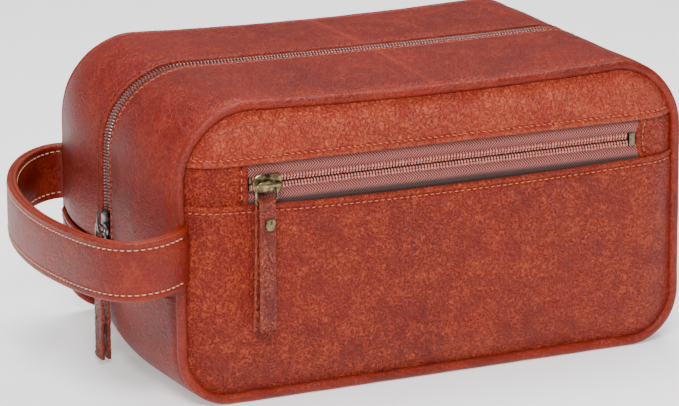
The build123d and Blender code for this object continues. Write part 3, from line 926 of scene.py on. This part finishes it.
def smooth_path(corners, count):
    """Points on a cubic B-spline that starts and ends at the first and last corner."""
    corners = np.asarray(corners, float)
    full = np.concatenate([2 * corners[:1] - corners[1:2], corners, 2 * corners[-1:] - corners[-2:-1]])
    points = []
    for i in range(len(full) - 3):
        for t in np.linspace(0.0, 1.0, 14, endpoint=False):
            weights = np.array([(1 - t) ** 3, 3 * t ** 3 - 6 * t ** 2 + 4,
                                -3 * t ** 3 + 3 * t ** 2 + 3 * t + 1, t ** 3]) / 6.0
            points.append(weights @ full[i:i + 4])
    points.append(corners[-1])
    points = np.array(points)
    far = np.concatenate([[0.0], np.cumsum(np.linalg.norm(np.diff(points, axis=0), axis=1))])
    even = np.linspace(0.0, far[-1], count)
    return np.stack([np.interp(even, far, points[:, i]) for i in range(points.shape[1])], axis=1)


STRAP_LOW, STRAP_HIGH = cad("handle_outer_leather")[0][2], cad("handle_outer_leather")[1][2]
STRAP_MIDDLE = (STRAP_LOW + STRAP_HIGH) / 2
STRAP_HALF = (STRAP_HIGH - STRAP_LOW) / 2
STRAP_LINE = smooth_path([(-124.2, -74.6), (-127.4, -80.6), (-133.6, -86.0), (-142.5, -90.6),
                          (-153.5, -91.0), (-162.5, -84.5), (-168.5, -70.0), (-173.0, -46.0),
                          (-176.0, -19.0), (-175.0, 9.0), (-171.0, 33.0), (-163.0, 54.0),
                          (-151.0, 72.0), (-138.0, 80.6), (-128.5, 81.2), (-123.5, 75.5)], 134)
STRAP_DROP = -3.4 * np.sin(np.linspace(0.0, math.pi, len(STRAP_LINE))) ** 1.4


def strap_outward():
    """The directions out of the bag along the strap's middle line, seen from above."""
    tangent = np.gradient(STRAP_LINE, axis=0)
    tangent /= np.linalg.norm(tangent, axis=1, keepdims=True)
    out = np.stack([tangent[:, 1], -tangent[:, 0]], axis=1)
    return out if np.sum(out[:, 0]) < 0 else -out


def strap_tube(profile):
    """A tube along the strap: profile holds (distance outwards, height) pairs."""
    profile = np.array(profile)
    sections = np.zeros((len(STRAP_LINE), len(profile), 3))
    sections[..., :2] = strap_outward()[:, None, :] * profile[None, :, 0, None]
    sections[..., 2] = profile[None, :, 1]
    centres = np.column_stack([STRAP_LINE, np.full(len(STRAP_LINE), STRAP_MIDDLE)])
    centres[:, 2] += STRAP_DROP
    return tube(centres, sections)


def strap_core():
    """What shows between the two layers, at the strap's edges."""
    wide, high = 0.35, STRAP_HALF - 0.35
    points, faces = strap_tube([(wide, high), (-wide, high), (-wide, -high), (wide, -high)])
    made = new_object("handle_core", points, faces, CORE)
    fix_normals(made)
    return made


def strap_layer(name, near, far):
    """One layer of the strap, between two distances outwards from its middle line."""
    half = STRAP_HALF
    face_side = 1.0 if far > 0 else -1.0
    face, back = (far, near) if face_side > 0 else (near, far)
    edge = 0.75
    heights = [half - 0.25, half, half, half - 0.35, half - 0.9, half - 1.8, half - 2.7, half - 3.3,
               half - 3.9, half - 5.0, half * 0.45, 0.0]
    depths = [back, back + face_side * 0.3, face - face_side * edge, face - face_side * 0.25,
              face - face_side * 0.02, face, face - face_side * 0.2, face - face_side * 0.38,
              face - face_side * 0.2, face, face + face_side * 0.15, face + face_side * 0.2]
    profile = [(d, h) for d, h in zip(depths, heights)]
    profile += [(d, -h) for d, h in profile[-2::-1]]
    points, faces = strap_tube(profile)
    if face_side < 0:
        faces = [f[::-1] for f in faces]
    return new_object(name, points, faces, STRAP, sharp=60.0)


def strap_stitches():
    """Stitches beside both edges, on both faces of the strap."""
    outward = strap_outward()
    keep = slice(6, -4)
    places = []
    for face in (2.4, -2.4):
        sign = math.copysign(1.0, face)
        for edge in (STRAP_HALF - 3.3, 3.3 - STRAP_HALF):
            xy = STRAP_LINE + outward * (face - sign * 0.22)
            line = np.column_stack([xy, STRAP_MIDDLE + edge + STRAP_DROP])[keep]
            out = np.column_stack([outward * sign, np.zeros(len(outward))])[keep]
            places += stitch_line(line, out, pitch=3.15)
    points, faces = copies(STITCH, places)
    return new_object("handle_stitches", points, faces, THREAD_PALE)


# ---------------------------------------------------------------- pulls

def pull_strip(name, top, across, outward, length, seed, splay):
    """A leather strip folded over the ring's lower side. top is the fold's axis, outward its front."""
    across, outward = np.asarray(across, float), np.asarray(outward, float)
    down = np.array([0.0, 0.0, -1.0])
    half, thick = 4.65, 1.35
    middle = 0.85 + 0.05 + thick / 2
    leg = length - middle - thick / 2
    turn = np.linspace(0.0, math.pi, 15)
    legs = np.linspace(leg, 0.0, 64)[:-1]
    path = [(middle, d, 0.0) for d in legs]
    path += [(middle * math.cos(t), -middle * math.sin(t), 0.5) for t in turn]
    path += [(-middle, d, 1.0) for d in legs[::-1]]
    profile = [(-half, -0.25), (-half, 0.25), (-half + 0.3, 0.5)]
    profile += [(x, 0.5) for x in np.linspace(-half + 0.9, half - 0.9, 11)]
    profile += [(half - 0.3, 0.5), (half, 0.25), (half, -0.25), (half - 0.3, -0.5)]
    profile += [(x, -0.5) for x in np.linspace(half - 0.9, -half + 0.9, 11)]
    profile += [(-half + 0.3, -0.5)]
    rings = []
    path = np.array(path)
    line = path[:, :2]
    tangent = np.gradient(line, axis=0)
    tangent /= np.linalg.norm(tangent, axis=1, keepdims=True)
    normal = np.stack([-tangent[:, 1], tangent[:, 0]], axis=1)
    if normal[0, 0] < 0:
        normal = -normal
    for (out, below, leg_side), n in zip(path, normal):
        low = max(0.0, below) / leg
        sag = splay * low ** 1.6
        push = (sag if leg_side > 0.75 else 0.0)
        embossed = float(smooth(max(0.0, below), 15.0, 19.0))
        taper = 1.0 - 0.03 * math.sin(math.pi * low)
        ring = []
        for x, t in profile:
            rough = 0.0
            if abs(x) < half - 0.2:
                spot = Vector((x * 0.62 + seed, below * 0.42 + 5.0 * leg_side, seed))
                rough = embossed * 0.6 * (abs(noise.noise(spot)) * 2.0 - 0.4)
            depth = t * thick + math.copysign(rough, t)
            centre = top + outward * (out + n[0] * depth - push * 0.55) + down * (below + n[1] * depth)
            ring.append(centre + across * (x * taper - push))
        rings.append(ring)
    rings = np.array(rings)
    rows, columns = rings.shape[:2]
    faces = quads(rows, columns, wrap_columns=True)
    faces += [list(range(columns))[::-1], [(rows - 1) * columns + j for j in range(columns)]]
    made = new_object(name, rings.reshape(-1, 3), faces, PULL, sharp=50.0)
    fix_normals(made)
    return made


def fix_normals(target):
    """Turns a closed mesh's faces outwards if they point inwards."""
    mesh = target.data
    mesh.calc_loop_triangles()
    volume = 0.0
    for face in mesh.loop_triangles:
        a, b, c = (mesh.vertices[i].co for i in face.vertices)
        volume += a.dot(b.cross(c))
    if volume < 0:
        mesh.flip_normals()


# ---------------------------------------------------------------- sliders

def plate(outline, levels):
    """A solid from one flat outline: levels are (height, inset) from the bottom up."""
    outline = np.asarray(outline, float)
    ahead, behind = np.roll(outline, -1, axis=0), np.roll(outline, 1, axis=0)
    tangent = ahead - behind
    tangent /= np.linalg.norm(tangent, axis=1, keepdims=True)
    normal = np.stack([tangent[:, 1], -tangent[:, 0]], axis=1)
    area = np.sum(outline[:, 0] * np.roll(outline[:, 1], -1) - outline[:, 1] * np.roll(outline[:, 0], -1))
    normal = normal if area > 0 else -normal
    rings = [np.column_stack([outline - normal * inset, np.full(len(outline), z)]) for z, inset in levels]
    rings = np.array(rings)
    rows, columns = rings.shape[:2]
    faces = quads(rows, columns, wrap_columns=True)
    faces += [list(range(columns)), [(rows - 1) * columns + j for j in range(columns)][::-1]]
    if area > 0:
        faces = [f[::-1] for f in faces]
    return rings.reshape(-1, 3), faces


def slider_outline(count=64):
    """Seen from above, x towards the closing end: wide shoulders, a waist, and a flared tail."""
    x = np.linspace(-7.0, 7.0, count // 2)
    width = 3.75 + 0.95 * np.exp(-((x - 2.6) / 2.4) ** 2) + 0.45 * np.exp(-((x + 7.0) / 1.6) ** 2)
    width = width * np.clip(1.0 - ((np.abs(x) - 5.6).clip(0.0, None) / 1.9) ** 2.4, 0.45, 1.0)
    nose = np.clip((x - 4.6) / 2.4, 0.0, 1.0)
    width = width * (1.0 - 0.28 * nose ** 1.5)
    return np.concatenate([np.stack([x, width], axis=1), np.stack([x[::-1], -width[::-1]], axis=1)])


def arch(points, half_width, half_thick):
    """A flat bar bent along points in the xz plane, with rounded edges."""
    points = smooth_path(points, 34)
    tangent = np.gradient(points, axis=0)
    tangent /= np.linalg.norm(tangent, axis=1, keepdims=True)
    angle = np.linspace(0.0, 2 * math.pi, 12, endpoint=False)
    across = np.sign(np.cos(angle)) * np.abs(np.cos(angle)) ** 0.6 * half_width
    depth = np.sign(np.sin(angle)) * np.abs(np.sin(angle)) ** 0.6 * half_thick
    sections = np.zeros((len(points), len(angle), 3))
    sections[..., 0] = -tangent[:, None, 1] * depth[None, :]
    sections[..., 1] = across[None, :]
    sections[..., 2] = tangent[:, None, 0] * depth[None, :]
    centres = np.column_stack([points[:, 0], np.zeros(len(points)), points[:, 1]])
    return tube(centres, sections)


def slider(name, origin, along, across, outward, mat):
    """A zip slider. Its frame: x along the zip towards the closing end, z out of the bag."""
    shape = slider_outline()
    top = plate(shape, [(0.05, 0.25), (0.25, 0.0), (0.85, 0.0), (1.15, 0.28), (1.3, 0.75)])
    under = plate(shape, [(-4.4, 0.5), (-4.15, 0.05), (-3.45, 0.05), (-3.2, 0.3)])
    web = plate([(5.4, -0.2), (6.7, -0.2), (6.7, 0.2), (5.4, 0.2)], [(-3.6, 0.0), (0.4, 0.0)])
    ribs = [plate([(x - 0.28, -2.2), (x + 0.28, -2.2), (x + 0.28, 2.2), (x - 0.28, 2.2)],
                  [(1.1, 0.0), (1.42, 0.0), (1.52, 0.12)]) for x in (-5.4, -4.3)]
    flanges = []
    for side in (-1.0, 1.0):
        bar = [(-6.3, side * 3.35), (3.6, side * 3.35), (3.6, side * 4.0), (-6.3, side * 4.0)]
        flanges.append(plate(bar, [(-1.65, 0.0), (0.6, 0.0)]))
    bridge = arch([(-5.9, 0.9), (-6.0, 2.2), (-5.6, 3.6), (-4.0, 4.3), (-1.0, 4.4), (2.2, 4.35),
                   (4.0, 3.9), (4.3, 2.4), (4.1, 0.9)], 0.85, 0.5)
    points, faces = joined([top, under, web, *ribs, *flanges, bridge])
    axes = np.array([along, across, outward], float)
    return new_object(name, points @ axes + origin, faces, mat, sharp=35.0)


# ---------------------------------------------------------------- build everything


def stands_for(nodes):
    if nodes:
        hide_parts(*nodes)


def blended(obj, nodes):
    """A quarter of the mouth: its transform is baked into its mesh, and the CAD parts it stands for are
    hidden.
    """
    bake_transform(obj)
    stands_for(nodes)


def on_handle(obj, nodes):
    """A piece of the strap: its transform is baked into its mesh, and the CAD parts it stands for are
    hidden.
    """
    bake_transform(obj)
    stands_for(nodes)


def riding(obj, body, nodes):
    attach(obj, body)
    stands_for(nodes)


for piece, name in ((front_lower_panel(), "front_lower_panel"),
                    (front_yoke(), "front_yoke"),
                    (front_tab("front_tab_left_leather", POCKET_LEFT, -1.0), "front_zip_tab_left"),
                    (front_tab("front_tab_right_leather", POCKET_RIGHT, 1.0), "front_zip_tab_right"),
                    (rear_panel(), "rear_panel"),
                    (base_gusset(), "base_gusset")):
    riding(piece, "bag", [name])
for is_front, word in ((True, "front"), (False, "rear")):
    tube_piece, cord_piece = welt(f"{word}_welt_leather", is_front)
    riding(tube_piece, "bag", [f"{word}_welt"])
    riding(cord_piece, "bag", [f"{word}_welt_core"])
    for is_left, end in ((True, "left"), (False, "right")):
        own = f"{word}_{end}"
        blended(leather_strip(f"{own}_mouth_leather", is_front, is_left),
                [f"{own}_strip", f"{word}_mouth_strip"])
        blended(tape_strip(f"{own}_mouth_tape", is_front, is_left),
                [f"{own}_tape", f"{word}_mouth_tape"])
        blended(coil(f"{own}_mouth_coil", is_front, is_left),
                [f"{own}_chain", f"{word}_mouth_chain"])
        blended(mouth_lining(f"{own}_mouth_lining", is_front, is_left),
                [f"{word}_mouth_lining"])
        blended(strip_stitches(f"{own}_mouth_stitches", is_front, is_left), [])

riding(gusset_lining(), "bag", ["gusset_lining"])
for name, seed, held_by in (("front_lining", 1.9, "front_lower_leather"),
                            ("pocket_lining", 1.9, "front_lower_leather"),
                            ("rear_lining", 4.2, "rear_leather")):
    riding(lining_panel(name, seed), "bag", [name])
riding(front_line_stitches(), "bag", [])
riding(end_seam_stitches(), "bag", [])

# The pocket's zip: the upper half rides with the bag, and the lower half is a lip made in two pieces that
# meet at the middle.
tape_low, tape_high = cad("pocket_tape_lower")[0], cad("pocket_tape_upper")[1]
upper_z = [POCKET_Z + 0.45, POCKET_Z + 1.2, POCKET_Z + 2.4, POCKET_Z + 4.0, POCKET_Z + 6.5,
           POCKET_Z + 9.5, tape_high[2]]
riding(flat_tape("pocket_tape_top", (tape_low[0], tape_high[0]), upper_z), "bag",
       ["pocket_tape_upper"])
# The lower tape's sewn edge is a narrow sheet of its own that rides with the bag. The lower tape's
# sewn edge is too narrow to be declared by itself, so it goes with the lip's tape.
sewn_grid = flat_tape_grid((tape_low[0], tape_high[0]), [tape_low[2], 91.0, 92.5, 94.0])
sewn_edge = sheet_object("pocket_tape_sewn", sewn_grid, TAPE_SHEET, TAPE_FLAT, (0, -1, 0))
riding(sewn_edge, "bag", ["pocket_tape_lower"])
chain_low, chain_high = cad("pocket_chain_lower")
riding(pocket_coil("pocket_coil_top", (chain_low[0], chain_high[0]), 1.0), "bag",
       ["pocket_chain_upper"])
lip_z = [93.9, 95.2, 96.6, 98.2, 100.4, POCKET_Z - 2.4, POCKET_Z - 1.2, POCKET_Z - 0.45]
for is_left, end in ((True, "left"), (False, "right")):
    outer = tape_low[0] if is_left else tape_high[0]
    lip_range = (outer, 0.0) if is_left else (0.0, outer)
    chain_range = (chain_low[0], 0.0) if is_left else (0.0, chain_high[0])
    for piece, nodes, slot in (
            (flat_tape(f"pocket_lip_tape_{end}", lip_range, lip_z),
             ["pocket_lip_tape"], "zip_tape"),
            (pocket_coil(f"pocket_lip_coil_{end}", chain_range, -1.0),
             ["pocket_lip_chain", "pocket_chain_lower"], "zip_coil")):
        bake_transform(piece)
        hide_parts(*nodes)

# The handle.
for layer, near, far, nodes in (
        ("handle_outer_strap", 0.2, 2.4, ["handle_outer_leather", "handle_front_root"]),
        ("handle_inner_strap", -2.4, -0.2, ["handle_inner_leather", "handle_rear_root"])):
    piece = strap_layer(layer, near, far)
    fix_normals(piece)
    on_handle(piece, nodes)
on_handle(strap_core(), [])
on_handle(strap_stitches(), [])

# Sliders and pulls.
pocket_low, pocket_high = cad("pocket_slider")
pocket_at = np.array([(pocket_low[0] + pocket_high[0]) / 2, FRONT_FACE, POCKET_Z])
riding(slider("pocket_slider_body", pocket_at, (-1, 0, 0), (0, 0, 1), (0, -1, 0), BRASS), "pocket_slider",
       ["pocket_slider"])
main_low, main_high = cad("main_slider")
main_at = np.array([-WALL - END_CROWN, 0.0, (main_low[2] + main_high[2]) / 2])
riding(slider("main_slider_body", main_at, (0, 0, -1), (0, 1, 0), (-1, 0, 0), GUNMETAL), "main_slider",
       ["main_slider"])
turn = math.radians(18.0)
pocket_pivot = joint("pocket_pull_swing")
pocket_length = pocket_pivot[2] - cad("pocket_pull_leather")[0][2] + 2.25
pocket_pivot = pocket_pivot - 0.9 * np.array([math.cos(turn), math.sin(turn), 0.0])
riding(pull_strip("pocket_pull_strap", pocket_pivot, (math.cos(turn), math.sin(turn), 0),
                  (math.sin(turn), -math.cos(turn), 0), pocket_length, 3.1, 0.9),
       "pocket_pull", ["pocket_pull_leather"])
main_pivot = joint("main_pull_swing")
main_length = main_pivot[2] - cad("main_pull_leather")[0][2] + 2.25
riding(pull_strip("main_pull_strap", main_pivot, (0, -1, 0), (-1, 0, 0), main_length, 8.4, 0.6),
       "main_pull", ["main_pull_leather"])


def repaint(name, mat):
    slots = frame["nodes"][name].data.materials
    slots.clear()
    slots.append(mat)


for name in ("pocket_ring", "pocket_pull_rivet"):
    repaint(name, BRASS)
for name in ("main_ring", "main_pull_rivet"):
    repaint(name, GUNMETAL)
for name in ("pocket_top_stops", "pocket_bottom_stop", "main_top_stops", "main_bottom_stop"):
    repaint(name, CLIP)
repaint("base_board", BOARD)

# ---------------------------------------------------------------- stage

floor_mesh = bpy.data.meshes.new("floor")
floor_mesh.from_pydata([(-6, -6, 0), (6, -6, 0), (6, 6, 0), (-6, 6, 0)], [], [(0, 1, 2, 3)])
floor_white = speckled("floor_white", (0.90, 0.90, 0.90), (0.92, 0.92, 0.92), 0.7, 40.0, 0.02)
floor_inputs = floor_white.node_tree.nodes["Principled BSDF"].inputs
floor_inputs["Emission Color"].default_value = (1, 1, 1, 1)
floor_inputs["Emission Strength"].default_value = 0.45
floor_mesh.materials.append(floor_white)
floor = bpy.data.objects.new("floor", floor_mesh)
bpy.context.scene.collection.objects.link(floor)

world = bpy.data.worlds.new("studio")
world.use_nodes = True
backdrop = world.node_tree.nodes["Background"].inputs
backdrop["Color"].default_value = (1.0, 1.0, 1.0, 1.0)
backdrop["Strength"].default_value = 0.22
bpy.context.scene.world = world


def area_light(name, place, target, size, power):
    data = bpy.data.lights.new(name, "AREA")
    data.shape = "RECTANGLE"
    data.size, data.size_y = size
    data.energy = power
    made = bpy.data.objects.new(name, data)
    made.location = place
    made.rotation_euler = (Vector(target) - Vector(place)).to_track_quat("-Z", "Y").to_euler()
    bpy.context.scene.collection.objects.link(made)


area_light("key", (-0.7, -1.3, 1.5), (0.0, 0.0, 0.07), (0.9, 0.7), 60.0)
area_light("top", (0.3, 0.4, 1.6), (0.0, 0.0, 0.1), (1.2, 0.8), 34.0)
area_light("left", (-1.5, 0.35, 0.55), (-0.1, 0.0, 0.08), (0.8, 0.7), 3.0)

camera_data = bpy.data.cameras.new("camera")
camera_data.sensor_width = 36.0
camera_data.lens = 164.9
camera_data.shift_x = 0.0036
camera_data.shift_y = -0.0016
camera = bpy.data.objects.new("camera", camera_data)
camera.location = (-0.6075, -1.3286, 0.4835)
camera.rotation_euler = (math.radians(90.0 - 16.04), 0.0, math.radians(-24.0))
bpy.context.scene.collection.objects.link(camera)
bpy.context.scene.camera = camera

bpy.context.view_layer.update()
